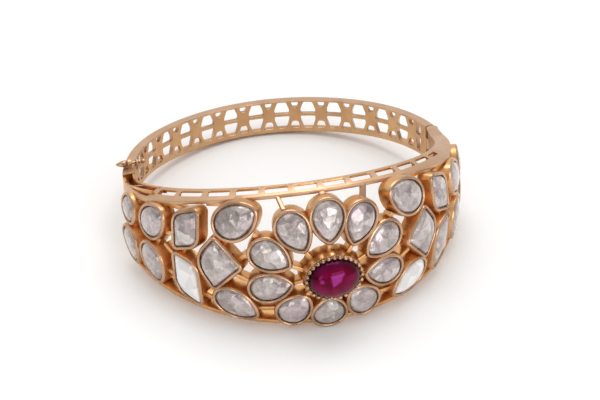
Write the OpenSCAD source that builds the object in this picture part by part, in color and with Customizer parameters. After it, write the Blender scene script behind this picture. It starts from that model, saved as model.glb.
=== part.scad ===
// Hinged openable bangle: a wide front panel of stones in box settings round a ruby flower,
// and a narrow pierced band behind, joined by a pin hinge and a box clasp.
// Sizes are in millimetres. Everything is first placed in the ring's own frame: X from clasp to
// hinge, -Y to the ruby, Z along the wrist. The ring is then tipped back to lie on its lower edge.

/* [Wrist opening] */
// Half the width of the opening, from hinge to clasp
open_a = 28.5; // [27.5:0.1:30]
// Half the depth of the opening, from front to back
open_b = 25.6; // [25.2:0.1:26.4]
// Radius of the opening's round sides
side_r = 24; // [23.5:0.1:24.5]

// Half the width of the front half's own opening, inside the hinge
front_a = 28; // [27.6:0.1:28.2]
// Distance of the back half's middle from the ruby's line, towards the hinge
open_shift = 0.5; // [0.3:0.1:0.7]

/* [Back band] */
// Height of the pierced band
band_h = 6.6; // [6.2:0.1:7.2]
// Thickness of the band's rims
band_t = 1.8; // [1.7:0.1:2]
// Thickness of the pierced plate between the rims
plate_t = 1.2; // [1:0.1:1.4]
// Height of the lower rim; the upper rim is half of it
rim_h = 0.65; // [0.5:0.05:0.8]
// Height of the bar that joins one star to the next
bar_h = 0.5; // [0.4:0.1:0.7]
// Distance from one star to the next along the band
star_pitch = 5.1; // [5:0.05:5.2]

/* [Front panel] */
// Radius of the panel's face, seen along the wrist
panel_r = 32; // [31.5:0.1:32.5]
// Fall of the face away from its widest line, per square millimetre of height
panel_bulge = 0.012; // [0.008:0.001:0.016]
// Extra distance of the face from the middle at the panel's ends
panel_spread = 0.4; // [0:0.1:1]
// Height of the panel's widest line in the ring's frame
panel_widest_z = -2; // [-4:0.5:0]
// Width of a bezel's rim round its stone
bezel_w = 0.68; // [0.6:0.02:0.8]
// Depth of the pocket that a stone sits in
pocket_d = 1.2; // [1:0.1:1.6]
// Width of the ledge under a stone
ledge_w = 0.5; // [0.4:0.1:0.7]

/* [Top rail] */
// Rise of the top rail from the hinge to the front
rail_rise = 7; // [6:0.1:8]
// Width of the rail's sloping top face in the middle
rail_w = 2.5; // [2.4:0.1:2.8]
// Extra width of the rail at its ends
rail_widen = 1; // [0.8:0.1:1.2]
// Slope of the rail's top face, down towards the panel, in degrees
rail_slope = 21; // [15:1:25]
// Thickness of the rail
rail_t = 0.7; // [0.6:0.1:1]
// Angle from one bar of the rail to the next, in degrees
rail_bar_deg = 9.6; // [9.4:0.1:9.8]

/* [Ruby] */
// Length of the ruby
ruby_l = 9.2; // [8.6:0.1:9.6]
// Height of the ruby
ruby_h = 7.4; // [7:0.1:7.8]
// How far the ruby's rim stands in front of the panel's face
ruby_out = 1.6; // [1.2:0.1:2]

/* [Hinge] */
// Distance of the hinge axis behind the middle of the ring
hinge_y = 3.6; // [3.4:0.1:4]
// Radius of the hinge knuckles
knuckle_r = 1.1; // [1.05:0.05:1.2]
// Radius of the hinge pin
pin_r = 0.5; // [0.4:0.05:0.55]
// How far the bracelet opens, in degrees
open_deg = 60; // [30:5:60]

/* [Hidden] */

// Tip back to the lying pose, and the shift that puts the box's bottom centre at the origin
lie_deg = 13.8;
lie_shift = [0, 4.25, 9.76];

eps = 0.01;
seat_gap = 0.05;
outline_n = 14;
band_z = band_h / 2;
function end_r(a) = ((a - side_r)^2 + open_b^2 - side_r^2) / (2 * (open_b - side_r));
function join_deg(a) = atan2(a - side_r, end_r(a) - open_b);
hinge_x = open_shift + open_a - side_r + side_r * cos(asin(hinge_y / side_r)) + 1;

// Stones of the panel. s runs along the face from the ruby's line, z up the ring, both to the middle
// of the stone. Pears and eggs have a length, a width, the direction of the tip and its sharpness.
// s, z, length, width, tip direction, tip sharpness, bezel depth, both sides, name
STONES = [
    [0.15, 4.75, 7.6, 5.6, -90, 0.55, 3.0, false, "petal_top"],
    [0, -13.75, 5.9, 5.7, 90, 0.45, 3.0, false, "petal_bottom"],
    [-6.15, 3.35, 7.5, 5.4, -65, 0.5, 3.0, true, "petal_1"],
    [-10.6, -1.1, 7.3, 5.5, -30, 0.5, 3.0, true, "petal_2"],
    [-10.8, -7.5, 7.3, 5.2, 10, 0.5, 3.0, true, "petal_3"],
    [-6.6, -12.5, 6.5, 5.4, 52, 0.35, 3.0, true, "petal_4"],
    [-16.8, 5.3, 8.0, 6.0, 32, 0.3, 3.0, true, "top_stone_1"],
    [-26.7, 2.3, 8.0, 4.6, 60, 0, 3.0, true, "top_stone_2"],
    [-34.8, 1.7, 6.6, 5.6, 45, 0.3, 3.0, true, "top_stone_3"],
    [-42.6, 1.2, 4.9, 4.3, -60, 0.25, 3.0, true, "top_stone_4"],
    [-20.9, -3.4, 9.6, 6.6, 0, 0, 3.0, true, "fan_stone"],
    [-17.6, -11.6, 8.0, 5.3, -32, 0.4, 3.0, true, "low_stone_1"],
    [-27.2, -7.9, 8.4, 4.2, -75, 0, 3.0, true, "low_stone_2"],
    [-35.6, -6.9, 7.4, 5.3, -70, 0.3, 3.0, true, "low_stone_3"],
    [-42.6, -5.9, 6.6, 4.4, -65, 0.35, 3.0, true, "low_stone_4"]];
S = 0;
Z = 1;
LEN = 2;
WID = 3;
TIP = 4;
SHARP = 5;
DEPTH = 6;
PAIR = 7;
NAME = 8;

// Corners of the stones that aren't pears, round each stone's middle: x, y, radius of the corner
CORNERS = [
    ["top_stone_2", [[2.4, 3.9, 0.5], [-2.5, 2.2, 2.2], [-2.3, -3.9, 0.45], [2.4, -2.6, 2.3]]],
    ["fan_stone", [[0.1, 5.0, 0.5], [-3.9, 0.2, 4.2], [-0.4, -4.9, 0.5], [4.8, 0, 0.45]]],
    ["low_stone_2", [[-2.0, 4.9, 0.5], [2.4, 3.3, 2.6], [2.3, -5.0, 0.6], [-2.6, -2.6, 3.6]]]];

// Strips on edge that tie the settings together: s, z of one end and s, z of the other
BRIDGES = [
    [-14.7, -0.9, -17.0, -2.6],
    [-17.3, -5.6, -14.6, -6.8],
    [-13.6, 2.9, -12.4, 1.8],
    [-18.0, 1.9, -19.6, 0.4],
    [-27.4, -1.6, -28.0, -3.4],
    [-21.6, -11.8, -25.0, -10.8],
    [-24.4, -5.4, -23.2, -5.0],
    [-10.2, -12.6, -14.0, -12.8],
    [-29.4, -4.4, -32.4, -2.4],
    [-33.6, -1.6, -34.6, -3.0],
    [-29.9, -8.4, -32.2, -8.0],
    [-29.6, 0.4, -32.0, 0.2],
    [-38.2, 0.6, -40.2, 0.8],
    [-38.6, -6.6, -40.2, -6.2],
    [-41.8, -1.6, -42.4, -2.6]];

// Spokes from the petals' tips to the ruby's cup: s, z at the petal and s, z at the cup
SPOKES = [
    [0, 0.7, 0, -1.6],
    [0, -10.6, 0, -9.2],
    [-4.6, -0.2, -2.9, -2.6],
    [-7.2, -3.1, -3.9, -4.5],
    [-7.2, -6.9, -4.1, -6.1],
    [-4.6, -9.8, -2.9, -8.0]];

// Lattice: corners of the gaps over and under the bar: x, z, radius of the corner
bar_z = 0.35;
GAP_HIGH = [[-1.35, bar_z + bar_h / 2, 0.45], [1.35, bar_z + bar_h / 2, 0.45],
            [0.95, band_z - rim_h / 2, 0.4], [-0.95, band_z - rim_h / 2, 0.4]];
GAP_LOW = [[-1.35, bar_z - bar_h / 2, 0.45], [1.35, bar_z - bar_h / 2, 0.45], [0.7, rim_h - band_z, 0.4],
           [-0.7, rim_h - band_z, 0.4]];
STAR_HIGH = [[-0.5, 1.75, 0.25], [0.5, 1.75, 0.25], [0.85, band_z - rim_h / 2, 0.3],
             [-0.85, band_z - rim_h / 2, 0.3]];
STAR_LOW = [[-0.5, -1.15, 0.25], [0.5, -1.15, 0.25], [0.9, rim_h - band_z, 0.3], [-0.9, rim_h - band_z, 0.3]];
END_HIGH = [[-0.9, bar_z + bar_h / 2, 0.3], [0.75, bar_z + bar_h / 2, 0.3], [0.5, band_z - rim_h / 2, 0.3],
            [-0.55, band_z - rim_h / 2, 0.3]];
END_LOW = [[-0.9, bar_z - bar_h / 2, 0.3], [0.75, bar_z - bar_h / 2, 0.3], [0.4, rim_h - band_z, 0.3],
           [-0.5, rim_h - band_z, 0.3]];
first_star = -2.5;
stars_to_hinge = 7;
stars_to_clasp = 6;
end_gap_t = 35.6;

// Clasp: the box at the end of the panel and what the band puts into it
clasp_y = 2.2;
box_from_deg = -69;
box_w = 2.3;
box_wall = 0.55;
tongue_y = -1.6;
tongue_t = 0.5;
lug_r = 0.85;
lug_hole_r = 0.42;
clasp_pin_r = 0.32;
clasp_pin_y = 5.4;
clasp_pin_z = band_z + 0.75;
lug_x = -28.7;

ruby_s = 0.3;
ruby_z = -5.4;
cup_depth = 2.8;
cup_flare = 1.4;
cup_rim = 0.72;
cup_n = 28;
rail_end_deg = 58;
rail_inner_w = 0.5;
rail_slot_w = 1.2;
hinge_block_deg = 64;
block_w = 3.1;
knuckle_h = 2.05;
knuckle_gap = 0.1;
pin_gap = 0.05;
bottom_rail_h = 0.85;
bottom_rail_d = 3.2;

gold = "#d9a066";
stone_grey = "#c9c4c4";
ruby_red = "#7a1036";
clear_white = "#f4f6f8";

function sides_of(row) = row[PAIR] ? [1, -1] : [1];
function stone_name(row, side) = row[PAIR] ? str(row[NAME], side > 0 ? "_left" : "_right") : row[NAME];

// Point of an oval of half width a, its middle at x, moved out by d, where the outward normal stands
// u degrees from the front, positive towards the hinge
function oval(a, x, u, d) =
    abs(u) <= join_deg(a) ? [x + (end_r(a) + d) * sin(u), end_r(a) - open_b - (end_r(a) + d) * cos(u)] :
    abs(u) >= 180 - join_deg(a) ? [x + (end_r(a) + d) * sin(u), open_b - end_r(a) - (end_r(a) + d) * cos(u)] :
    [x + sign(u) * (a - side_r) + (side_r + d) * sin(u), -(side_r + d) * cos(u)];
function front_oval(u, d) = oval(front_a, 0, u, d);
function back_oval(u, d) = oval(open_a, open_shift, u, d);

// Normal angle of the point t millimetres along the band from the middle of the back, positive
// towards the hinge
back_join = end_r(open_a) * join_deg(open_a) * PI / 180;
function back_deg(t) =
    let (turn = abs(t) <= back_join ? abs(t) / end_r(open_a) * 180 / PI :
                join_deg(open_a) + (abs(t) - back_join) / side_r * 180 / PI)
    sign(t) * (180 - turn);

// Height of the top rail's inner edge over a point of the ring
function top_z(p) = band_z + rail_rise * max(0, -p[1]) / open_b;
function slope_at(u) = rail_slope * min(1, (105 - abs(u)) / 45);
function rail_inner(u) = rail_inner_w + 0.25 * min(1, (u / 50)^2);
function rail_wide(u) = u < -70 ? 2.3 + 1.2 * max(0, (88 + u) / 18) : u > 62 ? block_w :
    rail_w + rail_widen * min(1, (u / 50)^2);
// Point of the top rail, w across its face from the inner edge and t below the face
function rail_point(u, w, t) =
    let (p = front_oval(u, w * cos(slope_at(u))))
    [p[0], p[1], top_z(front_oval(u, 0)) - w * sin(slope_at(u)) - t];

// Panel face: how far it stands out at height z, its tilt there, and points on and behind it
function face_out(s, z) = panel_r + panel_spread * (s / 42)^2 - panel_bulge * (z - panel_widest_z)^2;
function face_tilt(z) = atan(2 * panel_bulge * (z - panel_widest_z));
function panel_point(s, z, d) =
    let (a = s / panel_r * 180 / PI, r = face_out(s, z) - d * cos(face_tilt(z)))
    [r * sin(a), -r * cos(a), z - d * sin(face_tilt(z))];
function bottom_z(s) = -15.7 + 5.5 * (s / 40)^2;

// Pear or egg outline: the tip is on +X, turned to the tip's direction
function pear_peak(p) = 2 * sqrt(1 + p) / (2 + p) * ((1 + p) / (2 + p))^(p / 2);
function pear(l, w, dir, p) =
    [for (i = [0:outline_n - 1])
        let (t = 360 * i / outline_n, x = l / 2 * cos(t), y = w / 2 * sin(t) * sin(t / 2)^p / pear_peak(p))
        [x * cos(dir) - y * sin(dir), x * sin(dir) + y * cos(dir)]];

// Polygon with each corner rounded to its own radius
function unit(v) = v / norm(v);
function round_corner(a, v, b, r, n) =
    let (p = unit(a - v), q = unit(b - v), half = acos(p * q) / 2, c = v + unit(p + q) * r / sin(half),
         from = v + p * r / tan(half) - c, to = v + q * r / tan(half) - c,
         a0 = atan2(from[1], from[0]), d = atan2(to[1], to[0]) - a0,
         turn = d > 180 ? d - 360 : d < -180 ? d + 360 : d)
    [for (i = [0:n]) c + r * [cos(a0 + turn * i / n), sin(a0 + turn * i / n)]];
function xy(v) = [v[0], v[1]];
function round_polygon(v, n) =
    [for (i = [0:len(v) - 1])
        each round_corner(xy(v[(i + len(v) - 1) % len(v)]), xy(v[i]), xy(v[(i + 1) % len(v)]), v[i][2], n)];
function corners_of(name) = [for (row = CORNERS) if (row[0] == name) row[1]];

function stone_outline(row) =
    let (own = corners_of(row[NAME]))
    len(own) > 0 ? round_polygon(own[0], 3) : pear(row[LEN], row[WID], row[TIP], row[SHARP]);

// Solid through rings of points, closed at both ends
module sweep(rings) {
    n = len(rings[0]);
    m = len(rings);
    polyhedron(
        points = [for (r = rings, p = r) p],
        faces = concat(
            [[for (i = [0:n - 1]) i]],
            [for (j = [0:m - 2], i = [0:n - 1])
                [j * n + i, (j + 1) * n + i, (j + 1) * n + (i + 1) % n, j * n + (i + 1) % n]],
            [[for (i = [n - 1:-1:0]) (m - 1) * n + i]]),
        convexity = 8);
}

// Part of the rail's plate between two angles, from w0 across its face to w1 short of its outer edge
module rail_piece(u0, u1, w0, w1, steps, t = rail_t) {
    sweep([for (i = [0:steps])
        let (u = u0 + (u1 - u0) * i / steps, w = rail_wide(u) - w1)
        [rail_point(u, w0, 0), rail_point(u, w, 0), rail_point(u, w, t), rail_point(u, w0, t)]]);
}

// Wall that follows the oval, between two offsets and two heights
module oval_wall(u0, u1, d0, d1, z0, z1, steps) {
    sweep([for (i = [0:steps])
        let (u = u0 + (u1 - u0) * i / steps, p = front_oval(u, d0), q = front_oval(u, d1))
        [[p[0], p[1], z1 + top_z(p) - band_z], [q[0], q[1], z1 + top_z(p) - band_z], [q[0], q[1], z0],
         [p[0], p[1], z0]]]);
}

// Children drawn in the plane of the face, +Z outwards, at s and z
module on_panel(s, z) {
    rotate([0, 0, s / panel_r * 180 / PI])
        translate([0, -face_out(s, z), z])
            rotate([90 - face_tilt(z), 0, 0])
                children();
}

module mirrored(on = true) {
    children();
    if (on) mirror([1, 0, 0]) children();
}

// Open-backed box setting, with a ledge behind the stone's pocket
module bezel_body(row) {
    on_panel(row[S], row[Z])
        translate([0, 0, -row[DEPTH]])
            linear_extrude(row[DEPTH]) offset(delta = bezel_w) polygon(stone_outline(row));
}

module bezel_hollow(row) {
    on_panel(row[S], row[Z]) {
        translate([0, 0, -pocket_d])
            linear_extrude(pocket_d + 1) offset(delta = seat_gap) polygon(stone_outline(row));
        translate([0, 0, -row[DEPTH] - 1.5])
            linear_extrude(row[DEPTH] + 1.5) offset(delta = -ledge_w) polygon(stone_outline(row));
    }
}

// Square rod of width w from a to b
module bar_between(a, b, w) {
    along = unit(b - a);
    side = unit(cross(along, [0, 0, 1])) * w / 2;
    up = unit(cross(side, along)) * w / 2;
    sweep([for (p = [a, b]) [p + side + up, p + side - up, p - side - up, p - side + up]]);
}

// Strip on edge between two places of the panel, from depth d0 to depth d1 behind the face
module strip_between(s0, z0, s1, z1, w, d0, d1) {
    side = unit([z0 - z1, s1 - s0]) * w / 2;
    sweep([for (e = [[s0, z0], [s1, z1]])
        [panel_point(e[0] + side[0], e[1] + side[1], d0), panel_point(e[0] - side[0], e[1] - side[1], d0),
         panel_point(e[0] - side[0], e[1] - side[1], d1), panel_point(e[0] + side[0], e[1] + side[1], d1)]]);
}

module top_rail() {
    for (i = [-6:5]) {
        u0 = max(i * rail_bar_deg, -rail_end_deg);
        u1 = min((i + 1) * rail_bar_deg, rail_end_deg);
        sweep([for (u = [u0, (u0 + u1) / 2, u1])
            [rail_point(u, 0, 0), rail_point(u, rail_inner(u), 0), rail_point(u, rail_inner(u), rail_t),
             rail_point(u, 0, rail_t)]]);
        sweep([for (u = [u0, (u0 + u1) / 2, u1])
            let (w0 = rail_inner(u) + rail_slot_w, w1 = rail_wide(u))
            [rail_point(u, w0, 0), rail_point(u, w1, 0), rail_point(u, w1, rail_t), rail_point(u, w0, rail_t)]]);
    }
    for (i = [-5:5])
        rail_piece(i * rail_bar_deg - 1.1, i * rail_bar_deg + 1.1, 0.3, 0.3, 1);
    rail_piece(-70, -rail_end_deg, 0, 0, 2);
    rail_piece(rail_end_deg, hinge_block_deg + 1, 0, 0, 2);
}

module bottom_rail() {
    limit = 44;
    steps = 36;
    sweep([for (i = [0:steps])
        let (s = -limit + 2 * limit * i / steps, z = bottom_z(s))
        [panel_point(s, z + bottom_rail_h / 2, 0.35), panel_point(s, z - bottom_rail_h / 2, 0.35),
         panel_point(s, z - bottom_rail_h / 2, bottom_rail_d), panel_point(s, z + bottom_rail_h / 2, bottom_rail_d)]]);
}

// Rods that hold the top settings to the rail
module rail_rods() {
    mirrored() bar_between(panel_point(-7.9, 7.3, 1.0), rail_point(-14.2, rail_wide(14) - 0.35, 0.5), 0.75);
    bar_between(panel_point(0, 8.4, 2.4), rail_point(0, rail_wide(0) - 0.35, 0.5), 1.2);
    mirrored() bar_between(panel_point(-18.0, 8.2, 2.6), rail_point(-37, rail_wide(37) - 0.5, 0.5), 1.0);
    mirrored() bar_between(panel_point(-27, 5.6, 2.5), rail_point(-54, rail_wide(54) - 0.6, 0.5), 1.0);
    mirrored() bar_between(panel_point(-35.2, 4.4, 2.4), rail_point(-66, rail_wide(60) - 0.8, 0.6), 1.0);
    mirrored() bar_between(panel_point(-41.5, 2.8, 2.6), rail_point(-76, 2.4, 1.2), 1.0);
}

// Cup with a straight rim and a skirt that flares towards the back
module ruby_cup() {
    on_panel(ruby_s, ruby_z)
        difference() {
            sweep([for (row = [[-cup_depth, cup_flare], [ruby_out - 1.3, cup_rim - 0.1],
                               [ruby_out - 1.2, cup_rim], [ruby_out, cup_rim]])
                cup_ring(row[0], row[1])]);
            sweep([for (z = [ruby_out - 1.3, ruby_out + 1]) cup_ring(z, seat_gap)]);
            sweep([for (z = [-cup_depth - 1, ruby_out]) cup_ring(z, -0.7)]);
        }
}

// Ring of the ruby's oval at height z, moved out by d
function cup_ring(z, d) =
    [for (i = [0:cup_n - 1])
        [(ruby_l / 2 + d) * cos(360 * i / cup_n), (ruby_h / 2 + d) * sin(360 * i / cup_n), z]];

// Box at the clasp end, open above and at its end, with one bar across
module clasp_box() {
    end_deg = -90 - asin(clasp_y / (side_r + 1));
    oval_wall(end_deg, box_from_deg, 0, box_wall, -band_z, band_z, 5);
    oval_wall(end_deg, box_from_deg, box_w - box_wall, box_w, -band_z, band_z - 0.4, 5);
    sweep([for (i = [0:5])
        let (u = end_deg + (box_from_deg - end_deg) * i / 5, p = front_oval(u, 0.1), q = front_oval(u, box_w - 0.1))
        [[p[0], p[1], -band_z + 0.8], [q[0], q[1], -band_z + 0.8], [q[0], q[1], -band_z],
         [p[0], p[1], -band_z]]]);
    sweep([for (u = [-87, -82, -76, -69])
        let (w = rail_wide(u))
        [rail_point(u, w - 0.55, 0), rail_point(u, w, 0), rail_point(u, w, 0.9), rail_point(u, w - 0.55, 0.9)]]);
    bar_between(rail_point(-76, 0.3, 0.5), rail_point(-83, 2.2, 0.5), 0.55);
}

// Hollow block at the hinge end, open underneath
module hinge_block() {
    end_deg = 90 + asin(hinge_y / (side_r + 1));
    difference() {
        union() {
            block_wall(hinge_block_deg, end_deg, 0, 0.8, 4);
            block_wall(hinge_block_deg, end_deg, block_w - 0.8, block_w, 4);
            block_wall(end_deg - 5.5, end_deg, 0, block_w, 1);
            rail_piece(hinge_block_deg, end_deg, 0, 0, 4, 1);
        }
        translate([front_a - 5, hinge_y - 0.3, -20]) cube([20, 5, 40]);
    }
}

// Wall of the hinge block between two places across it, from its top face down
module block_wall(u0, u1, w0, w1, steps) {
    sweep([for (i = [0:steps])
        let (u = u0 + (u1 - u0) * i / steps, p = front_oval(u, w0), q = front_oval(u, w1),
             top_p = rail_point(u, w0, 0.2), top_q = rail_point(u, w1, 0.2))
        [[p[0], p[1], top_p[2]], [q[0], q[1], top_q[2]], [q[0], q[1], -band_z], [p[0], p[1], -band_z]]]);
}

// Space that a knuckle of the other half turns in
module knuckle_room(z0, z1) {
    translate([hinge_x, hinge_y, z0 - knuckle_gap])
        cylinder(r = knuckle_r + 0.15, h = z1 - z0 + 2 * knuckle_gap, $fn = 32);
}

module knuckle(z0, z1) {
    translate([hinge_x, hinge_y, z0]) cylinder(r = knuckle_r, h = z1 - z0, $fn = 32);
}

module front_knuckles() {
    for (z0 = [-band_z, band_z - knuckle_h]) {
        knuckle(z0, z0 + knuckle_h);
        translate([hinge_x - knuckle_r, hinge_y - knuckle_r - 1, z0]) cube([2 * knuckle_r, knuckle_r + 1, knuckle_h]);
    }
}

module front_frame() {
    color(gold)
        difference() {
            union() {
                top_rail();
                bottom_rail();
                rail_rods();
                ruby_cup();
                for (row = STONES) mirrored(row[PAIR]) bezel_body(row);
                for (b = BRIDGES) mirrored() strip_between(b[0], b[1], b[2], b[3], 0.9, 0.9, 3.0);
                for (b = SPOKES) mirrored(b[0] != 0) strip_between(b[0], b[1], b[2], b[3], 0.75, 0.3, 2.6);
                clasp_box();
                hinge_block();
                front_knuckles();
            }
            for (row = STONES) mirrored(row[PAIR]) bezel_hollow(row);
            knuckle_room(-band_z + knuckle_h, band_z - knuckle_h);
            translate([hinge_x, hinge_y, -band_z - 1]) cylinder(r = pin_r + pin_gap, h = band_h + 0.4, $fn = 32);
            translate([hinge_x - 8, hinge_y - 0.2, -band_z + knuckle_h]) cube([16, 6, band_h - 2 * knuckle_h]);
        }
}

// Stretch of the band of thickness w, between two normal angles counted from the front past the hinge
// to the back, and two heights
module band_part(u0, u1, w, z0, z1) {
    steps = ceil((u1 - u0) / 3);
    inner = [for (i = [0:steps]) back_oval(past_back(u0 + (u1 - u0) * i / steps), 0)];
    outer = [for (i = [steps:-1:0]) back_oval(past_back(u0 + (u1 - u0) * i / steps), w)];
    translate([0, 0, z0]) linear_extrude(z1 - z0) polygon(concat(inner, outer));
}
function past_back(u) = u > 180 ? u - 360 : u;

// Prism through the band at t millimetres from the middle of the back
module band_gap(t, corners) {
    u = back_deg(t);
    p = back_oval(u, -1);
    translate([p[0], p[1], 0])
        rotate([0, 0, u - 180])
            rotate([90, 0, 180])
                linear_extrude(band_t + 2) polygon(round_polygon(corners, 3));
}

module lattice_gaps() {
    for (i = [-stars_to_clasp:stars_to_hinge]) {
        band_gap(first_star + i * star_pitch, STAR_HIGH);
        band_gap(first_star + i * star_pitch, STAR_LOW);
    }
    for (i = [-stars_to_clasp:stars_to_hinge - 1]) {
        band_gap(first_star + (i + 0.5) * star_pitch, GAP_HIGH);
        band_gap(first_star + (i + 0.5) * star_pitch, GAP_LOW);
    }
    band_gap(end_gap_t, END_HIGH);
    band_gap(end_gap_t, END_LOW);
}

// Tongue of the band that slides into the clasp box
module tongue() {
    translate([open_shift - open_a - box_w / 2 - tongue_t / 2, tongue_y, -1.7])
        cube([tongue_t, clasp_y - tongue_y + 1.2, 3.6]);
}

module lug() {
    translate([lug_x, clasp_pin_y, clasp_pin_z])
        rotate([0, 90, 0])
            difference() {
                union() {
                    cylinder(r = lug_r, h = 0.8, $fn = 32);
                    translate([0, -lug_r, 0]) cube([0.9, 2 * lug_r, 0.8]);
                }
                translate([0, 0, -1]) cylinder(r = lug_hole_r, h = 3, $fn = 32);
            }
}

module back_band() {
    color(gold)
        difference() {
            union() {
                difference() {
                    union() {
                        band_part(94, 266, plate_t, -band_z, band_z);
                        band_part(94, 266, band_t, band_z - rim_h / 2 + 0.03, band_z);
                        band_part(94, 266, band_t, -band_z, rim_h - band_z - 0.03);
                        band_part(96, 102.5, band_t, -band_z, band_z);
                        band_part(253, 266, band_t, -band_z, band_z);
                    }
                    translate([0, -10, -10]) cube([50, 10 + hinge_y + 0.2, 20]);
                    translate([-50, -10, -10]) cube([50, 10 + clasp_y + 0.2, 20]);
                    translate([hinge_x, hinge_y, -10])
                        rotate([0, 0, open_deg - 90]) translate([0, 0.12, 0]) cube([20, 20, 20]);
                    lattice_gaps();
                    knuckle_room(-band_z - 1, -band_z + knuckle_h);
                    knuckle_room(band_z - knuckle_h, band_z + 1);
                }
                knuckle(-band_z + knuckle_h + knuckle_gap, band_z - knuckle_h - knuckle_gap);
                tongue();
                lug();
            }
            translate([hinge_x, hinge_y, -band_z - 1]) cylinder(r = pin_r + pin_gap, h = band_h + 2, $fn = 32);
        }
}

module hinge_pin() {
    color(gold) translate([hinge_x, hinge_y, -band_z]) cylinder(r = pin_r, h = band_h - 0.7, $fn = 32);
}

// Safety pin: cone head outside, two balls inside
module clasp_pin() {
    color(gold)
        translate([lug_x, clasp_pin_y, clasp_pin_z])
            rotate([0, 90, 0]) {
                translate([0, 0, -0.65]) cylinder(r = clasp_pin_r, h = 3.6, $fn = 24);
                translate([0, 0, -2.0]) cylinder(r1 = 0.12, r2 = 0.55, h = 1.4, $fn = 24);
                for (z = [2.35, 3.1]) translate([0, 0, z]) sphere(r = 0.45, $fn = 16);
            }
}

module clasp_link() {
    color(gold)
        translate([lug_x + 1.8, clasp_pin_y, clasp_pin_z - 0.38])
            rotate([0, 90, 0])
                rotate_extrude($fn = 14) translate([0.95, 0]) circle(r = 0.2, $fn = 6);
}

// Polki stone: flat back, straight girdle, facets up to a small table
module cut_stone(row) {
    outline = stone_outline(row);
    table = [for (i = [0:2:len(outline) - 1]) outline[i] * 0.55];
    crown = row[WID] * 0.1 + 0.15;
    on_panel(row[S], row[Z])
        translate([0, 0, -pocket_d + seat_gap])
            hull() {
                linear_extrude(pocket_d - 0.35) polygon(outline);
                linear_extrude(pocket_d - 0.35 + crown) polygon(table);
            }
}

module stone(row, side) {
    clear = (row[NAME] == "low_stone_2" && side > 0) || (row[NAME] == "low_stone_1" && side < 0);
    color(clear ? clear_white : stone_grey) {
        if (side > 0) cut_stone(row);
        else mirror([1, 0, 0]) cut_stone(row);
    }
}

module ruby() {
    rows = 5;
    sides = 24;
    dome_h = 2.3;
    color(ruby_red)
        on_panel(ruby_s, ruby_z)
            translate([0, 0, ruby_out - 1.3 + seat_gap])
                sweep(concat(
                    [[for (i = [0:sides - 1]) [ruby_l / 2 * cos(360 * i / sides), ruby_h / 2 * sin(360 * i / sides), 0]]],
                    [for (j = [0:rows])
                        let (k = cos(82 * j / rows), z = 1 + dome_h * sin(82 * j / rows))
                        [for (i = [0:sides - 1])
                            [ruby_l / 2 * k * cos(360 * i / sides), ruby_h / 2 * k * sin(360 * i / sides), z]]]));
}

module lying() {
    translate(lie_shift) rotate([-lie_deg, 0, 0]) children();
}

lying() front_frame();
lying() back_band();
lying() hinge_pin();
lying() clasp_pin();
lying() clasp_link();
lying() ruby();
for (row = STONES, side = sides_of(row))
    lying() stone(row, side);
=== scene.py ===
import math
import random

import bmesh
import bpy
from mathutils import Matrix, Vector


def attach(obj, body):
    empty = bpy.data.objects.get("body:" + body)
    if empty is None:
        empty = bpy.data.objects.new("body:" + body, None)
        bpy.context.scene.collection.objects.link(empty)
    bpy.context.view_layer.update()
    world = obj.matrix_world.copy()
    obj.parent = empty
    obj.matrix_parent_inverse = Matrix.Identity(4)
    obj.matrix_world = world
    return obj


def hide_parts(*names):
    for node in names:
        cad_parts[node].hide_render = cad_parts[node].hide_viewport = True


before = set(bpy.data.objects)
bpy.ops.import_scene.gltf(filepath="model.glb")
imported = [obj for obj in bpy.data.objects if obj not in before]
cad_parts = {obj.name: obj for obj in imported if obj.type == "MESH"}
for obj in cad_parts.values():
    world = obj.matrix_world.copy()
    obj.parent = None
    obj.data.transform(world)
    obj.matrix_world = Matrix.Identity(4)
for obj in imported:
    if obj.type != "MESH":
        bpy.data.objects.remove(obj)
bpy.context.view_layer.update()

MM = 0.001

# Ring and its lying pose
LIE_DEG = 13.8
LIE_SHIFT = Vector((0, 4.25, 9.76))
LYING = Matrix.Translation(LIE_SHIFT) @ Matrix.Rotation(math.radians(-LIE_DEG), 4, "X")

# Opening: ovals of the back band and of the front half
OPEN_A = 28.5
OPEN_B = 25.6
OPEN_SHIFT = 0.5
FRONT_A = 28.0
SIDE_R = 24.0

# Back band
BAND_H = 6.6
BAND_Z = BAND_H / 2
BAND_T = 1.8
PLATE_T = 0.85
RIM_H = 0.65
LOW_RIM_H = 0.85
BAR_H = 0.6
BAR_Z = 0.35
STAR_PITCH = 5.1
FIRST_STAR = -2.5
STARS_TO_HINGE = 7
STARS_TO_CLASP = 6
END_GAP_T = 35.6
END_SWELL = 0.5
END_SWELL_L = 7.0
BAND_END_DEG = 94
PAD_AT_HINGE = (102.5, 96)
PAD_AT_CLASP_DEG = 107
SEAM_GAP = 0.12

# Front panel
PANEL_R = 32.0
PANEL_SPREAD = 0.4
PANEL_SPREAD_S = 42
PANEL_BULGE = 0.012
PANEL_WIDEST_Z = -2.0
BEZEL_W = 0.68
BEZEL_D = 3.0
POCKET_D = 1.2
SEAT_GAP = 0.05

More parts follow.
